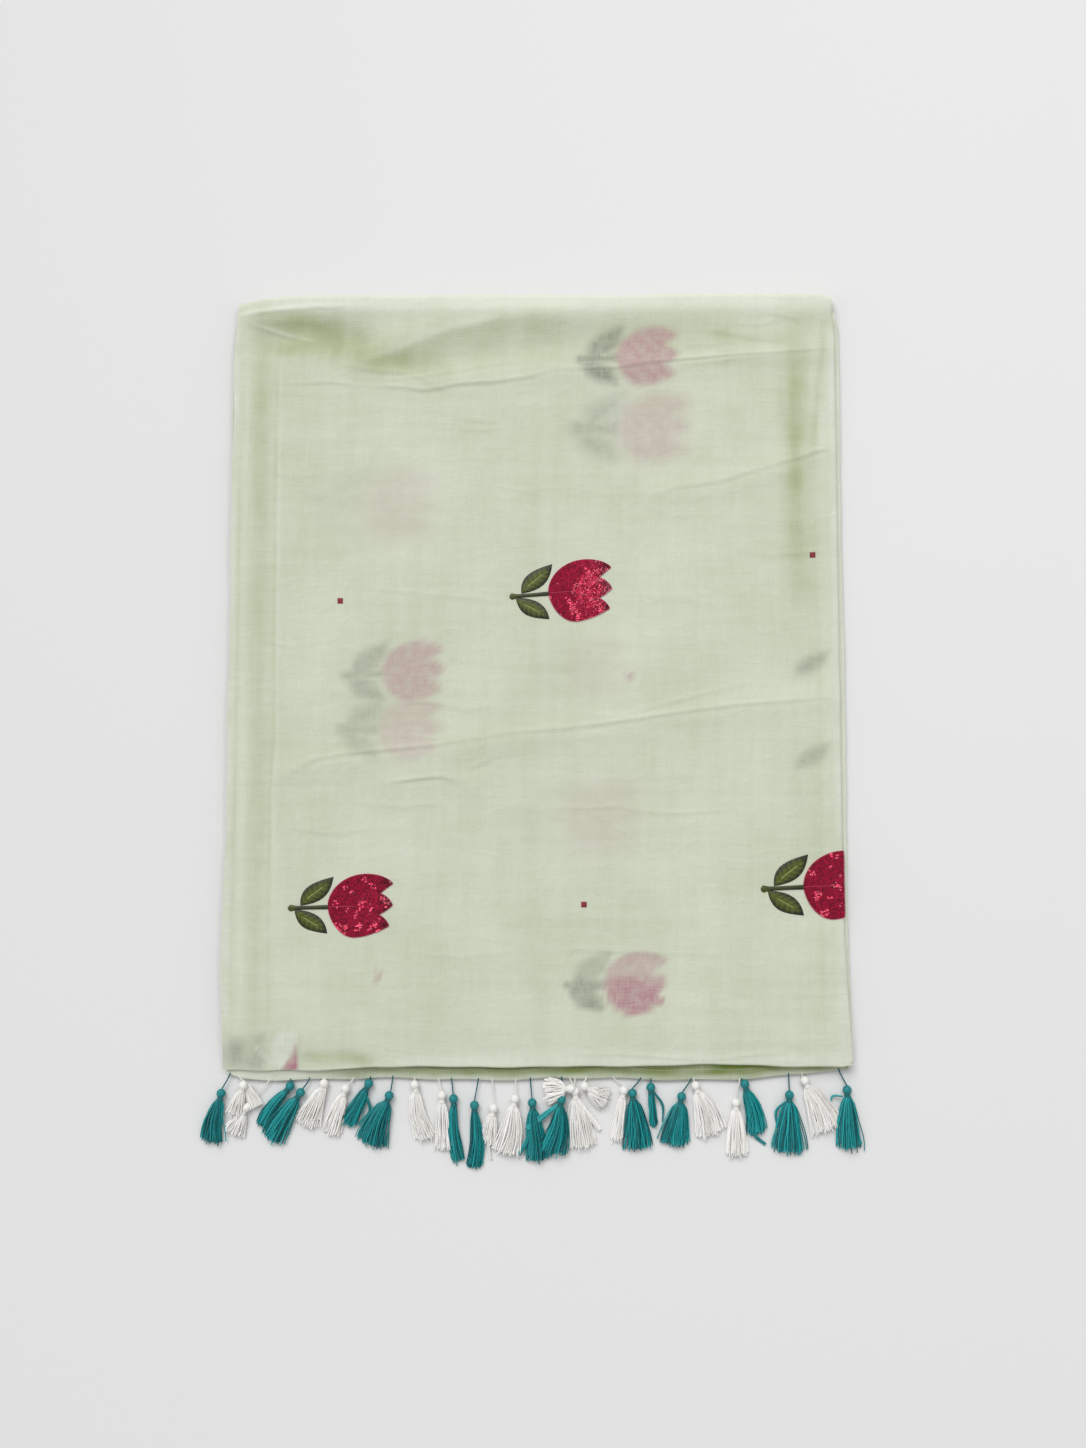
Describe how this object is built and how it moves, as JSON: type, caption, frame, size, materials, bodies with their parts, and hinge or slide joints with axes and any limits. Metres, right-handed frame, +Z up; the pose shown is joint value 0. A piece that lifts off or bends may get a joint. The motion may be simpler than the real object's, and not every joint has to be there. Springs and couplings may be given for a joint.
{
  "type": "folded sari",
  "caption": "Light cotton sari folded flat into a rectangular packet, with sequin tulips on its face and a row of tassels along the hem at its lower edge.",
  "frame": {"origin": "middle of the flat underside of the folded cloth, where it rests", "axes": "+Z up out of the face that shows, +Y towards the big round fold at the top edge, away from the tassels, +X towards the folded long side"},
  "size_m": [0.5954, 0.7941, 0.0181],
  "materials": {
    "cloth": "sheer plain-weave cotton, pale green, soft and matte",
    "hem": "the same cotton turned twice and stitched",
    "sequins": "rows of small glossy red sequins sewn on",
    "leaf_thread": "olive green embroidery thread, satin stitch",
    "teal_thread": "twisted thread with a slight sheen",
    "white_thread": "twisted thread with a slight sheen"
  },
  "bodies": {
    "root": {"outer_stretch": "cloth", "folded_layers": "cloth", "pallu_stretch": "cloth", "pallu_hem": "hem", "bloom_a": "sequins", "stem_a": "leaf_thread", "bloom_b": "sequins", "stem_b": "leaf_thread", "bloom_c": "sequins", "stem_c": "leaf_thread", "tassel_01": "teal_thread", "tassel_02": "white_thread", "tassel_03": "white_thread", "tassel_04": "teal_thread", "tassel_05": "teal_thread", "tassel_06": "white_thread", "tassel_07": "white_thread", "tassel_08": "teal_thread", "tassel_09": "teal_thread", "tassel_10": "white_thread", "tassel_11": "white_thread", "tassel_12": "teal_thread", "tassel_13": "teal_thread", "tassel_14": "white_thread", "tassel_15": "white_thread", "tassel_16": "teal_thread", "tassel_17": "teal_thread", "tassel_18": "white_thread", "tassel_19": "white_thread", "tassel_20": "white_thread", "tassel_21": "white_thread", "tassel_22": "teal_thread", "tassel_23": "teal_thread", "tassel_24": "teal_thread", "tassel_25": "white_thread", "tassel_26": "white_thread", "tassel_27": "teal_thread", "tassel_28": "teal_thread", "tassel_29": "white_thread", "tassel_30": "teal_thread"}
  },
  "joints": []
}
